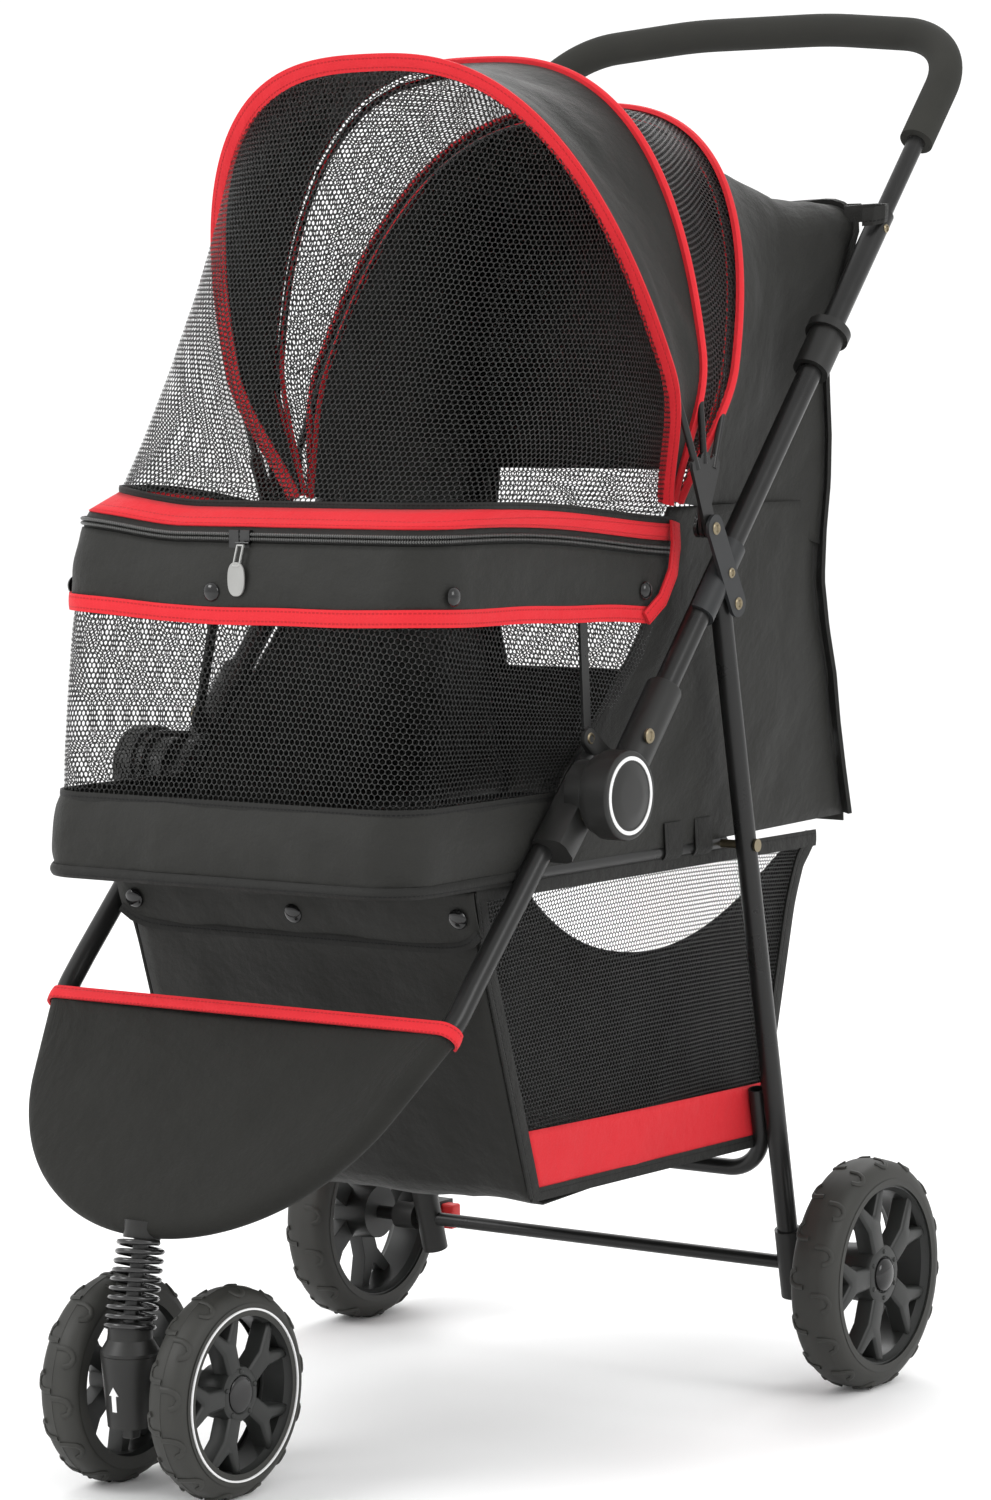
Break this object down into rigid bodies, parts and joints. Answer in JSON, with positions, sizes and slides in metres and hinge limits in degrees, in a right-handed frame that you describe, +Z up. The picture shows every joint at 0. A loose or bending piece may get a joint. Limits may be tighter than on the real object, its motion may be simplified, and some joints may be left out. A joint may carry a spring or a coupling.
{
  "type": "pet stroller",
  "caption": "Folding pet stroller: black tube frame, mesh cabin with hood, under-seat basket, sprung swivel front wheels and braked rear wheels.",
  "frame": {"origin": "on the floor, under the middle of the stroller's bounding box", "axes": "+X to the stroller's left-hand side seen from the front, +Y to the rear, towards the handle, +Z up"},
  "size_m": [0.4812, 0.8177, 0.9957],
  "materials": {
    "frame_black": "satin",
    "steel_bright": "satin",
    "rivet_brass": "satin",
    "spring_black": "gloss",
    "plastic_black": "matte",
    "plastic_red": "matte",
    "foam_grip": "matte",
    "tyre_black": "matte",
    "rim_black": "satin",
    "cloth_black": "matte",
    "cloth_red": "matte",
    "mesh_black": "matte"
  },
  "bodies": {
    "front_frame": {"front_tube": "frame_black", "hub_lower_sleeves": "plastic_black", "caster_socket": "plastic_black", "caster_stem": "steel_bright", "suspension_spring": "spring_black", "front_panel": "cloth_black", "front_panel_binding": "cloth_red"},
    "upper_frame": {"side_tubes": "frame_black", "handle_tube": "frame_black", "handle_grip": "foam_grip", "hub_upper_sleeves": "plastic_black", "hub_caps": "plastic_black", "hinge_brackets": "frame_black", "upper_pins": "rivet_brass", "front_rail": "frame_black", "rail_stays": "frame_black", "cabin_front": "mesh_black", "front_flap": "cloth_black", "zipper_track": "cloth_black", "cabin_side_left": "cloth_black", "cabin_side_right": "cloth_black", "cabin_rear": "cloth_black"},
    "canopy_rear": {"rear_bow": "frame_black", "canopy_rear_cover": "cloth_black"},
    "canopy_middle": {"middle_bow": "frame_black", "canopy_mesh_cover": "mesh_black"},
    "canopy_front": {"front_bow": "frame_black", "canopy_front_cover": "cloth_black", "canopy_dome": "mesh_black"},
    "rear_frame": {"rear_legs": "frame_black", "axle_brackets": "plastic_black", "rear_axle": "frame_black", "cross_bar": "frame_black", "basket_front": "cloth_black", "basket_rear": "cloth_black", "basket_sides": "mesh_black", "basket_floor": "cloth_black"},
    "side_rails": {"side_rails": "frame_black", "rail_pins": "rivet_brass", "floor_board": "cloth_black"},
    "latch_left": {"latch_left": "plastic_black"},
    "latch_right": {"latch_right": "plastic_black"},
    "suspension": {"stem_cap": "plastic_black"},
    "swivel": {"swivel_housing": "plastic_black", "front_axle": "steel_bright"},
    "swivel_lock": {"swivel_lock": "plastic_black"},
    "front_wheel_left": {"front_tyre_left": "tyre_black", "front_rim_left": "rim_black"},
    "front_wheel_right": {"front_tyre_right": "tyre_black", "front_rim_right": "rim_black"},
    "rear_wheel_left": {"rear_tyre_left": "tyre_black", "rear_rim_left": "rim_black"},
    "rear_wheel_right": {"rear_tyre_right": "tyre_black", "rear_rim_right": "rim_black"},
    "brake_left": {"brake_pedal_left": "plastic_red"},
    "brake_right": {"brake_pedal_right": "plastic_red"},
    "slider_left": {"zipper_slider_left": "steel_bright"},
    "slider_right": {"zipper_slider_right": "steel_bright"},
    "zipper_pull": {"zipper_pull": "steel_bright"}
  },
  "joints": [
    {"name": "fold", "type": "hinge", "parent": "front_frame", "child": "upper_frame", "pos_m": [0, -0.11237, 0.44616], "axis": [1, 0, 0], "range_deg": [0, 130], "deforming": ["cabin_front", "front_flap", "zipper_track", "cabin_side_left", "cabin_side_right", "cabin_rear", "canopy_dome", "canopy_front_cover", "canopy_mesh_cover", "canopy_rear_cover", "front_panel", "front_panel_binding", "basket_front", "basket_rear", "basket_sides", "basket_floor"]},
    {"name": "leg_fold", "type": "hinge", "parent": "upper_frame", "child": "rear_frame", "pos_m": [0, 0.04862, 0.56562], "axis": [1, 0, 0], "range_deg": [0, 5]},
    {"name": "rail_fold", "type": "hinge", "parent": "rear_frame", "child": "side_rails", "pos_m": [0, 0.0934, 0.39373], "axis": [1, 0, 0], "range_deg": [-34, 0]},
    {"name": "canopy", "type": "hinge", "parent": "canopy_middle", "child": "canopy_front", "pos_m": [0, 0.01967, 0.61806], "axis": [1, 0, 0], "range_deg": [-18, 0], "deforming": ["canopy_dome", "canopy_front_cover", "canopy_mesh_cover", "canopy_rear_cover"]},
    {"name": "canopy_middle_hinge", "type": "hinge", "parent": "canopy_rear", "child": "canopy_middle", "pos_m": [0, 0.01967, 0.61806], "axis": [1, 0, 0], "range_deg": [-15, 0]},
    {"name": "canopy_rear_hinge", "type": "hinge", "parent": "upper_frame", "child": "canopy_rear", "pos_m": [0, 0.01967, 0.61806], "axis": [1, 0, 0], "range_deg": [-5, 0]},
    {"name": "latch_left_slide", "type": "slide", "parent": "upper_frame", "child": "latch_left", "axis": [0, 0.6691, 0.7431], "range_m": [0, 0.012], "stiffness_N_per_m": 250, "springref_m": -0.01},
    {"name": "latch_right_slide", "type": "slide", "parent": "upper_frame", "child": "latch_right", "axis": [0, 0.6691, 0.7431], "range_m": [0, 0.012], "stiffness_N_per_m": 250, "springref_m": -0.01},
    {"name": "suspension_slide", "type": "slide", "parent": "front_frame", "child": "suspension", "axis": [0, 0.23, 0.9732], "range_m": [0, 0.008], "stiffness_N_per_m": 9000, "springref_m": -0.012, "deforming": ["suspension_spring"]},
    {"name": "caster_swivel", "type": "hinge", "parent": "suspension", "child": "swivel", "pos_m": [0, -0.38245, 0.09], "axis": [0, 0, 1], "continuous": true},
    {"name": "swivel_lock_slide", "type": "slide", "parent": "swivel", "child": "swivel_lock", "axis": [0, 0, -1], "range_m": [0, 0.004]},
    {"name": "front_wheel_left_spin", "type": "hinge", "parent": "swivel", "child": "front_wheel_left", "pos_m": [-0.0446, -0.33975, 0.0691], "axis": [1, 0, 0], "continuous": true},
    {"name": "front_wheel_right_spin", "type": "hinge", "parent": "swivel", "child": "front_wheel_right", "pos_m": [0.0446, -0.33975, 0.0691], "axis": [1, 0, 0], "continuous": true},
    {"name": "rear_wheel_left_spin", "type": "hinge", "parent": "rear_frame", "child": "rear_wheel_left", "pos_m": [-0.2224, 0.17455, 0.082], "axis": [1, 0, 0], "continuous": true},
    {"name": "rear_wheel_right_spin", "type": "hinge", "parent": "rear_frame", "child": "rear_wheel_right", "pos_m": [0.2224, 0.17455, 0.082], "axis": [1, 0, 0], "continuous": true},
    {"name": "brake_left_press", "type": "hinge", "parent": "rear_frame", "child": "brake_left", "pos_m": [-0.18, 0.17455, 0.082], "axis": [1, 0, 0], "range_deg": [-25, 0]},
    {"name": "brake_right_press", "type": "hinge", "parent": "rear_frame", "child": "brake_right", "pos_m": [0.18, 0.17455, 0.082], "axis": [1, 0, 0], "range_deg": [-25, 0]},
    {"name": "zip_left", "type": "slide", "parent": "upper_frame", "child": "slider_left", "axis": [-1, 0, 0], "range_m": [0, 0.1]},
    {"name": "zip_right", "type": "slide", "parent": "upper_frame", "child": "slider_right", "axis": [1, 0, 0], "range_m": [0, 0.1]},
    {"name": "pull_swing", "type": "hinge", "parent": "slider_right", "child": "zipper_pull", "pos_m": [0.0045, -0.26415, 0.614], "axis": [1, 0, 0], "range_deg": [-90, 0]}
  ],
  "couplings": [
    {"joint": "leg_fold", "follows": "fold", "ratio": 0.0362},
    {"joint": "rail_fold", "follows": "fold", "ratio": -0.2531},
    {"joint": "canopy_middle_hinge", "follows": "canopy", "ratio": 0.8},
    {"joint": "canopy_rear_hinge", "follows": "canopy", "ratio": 0.25}
  ]
}
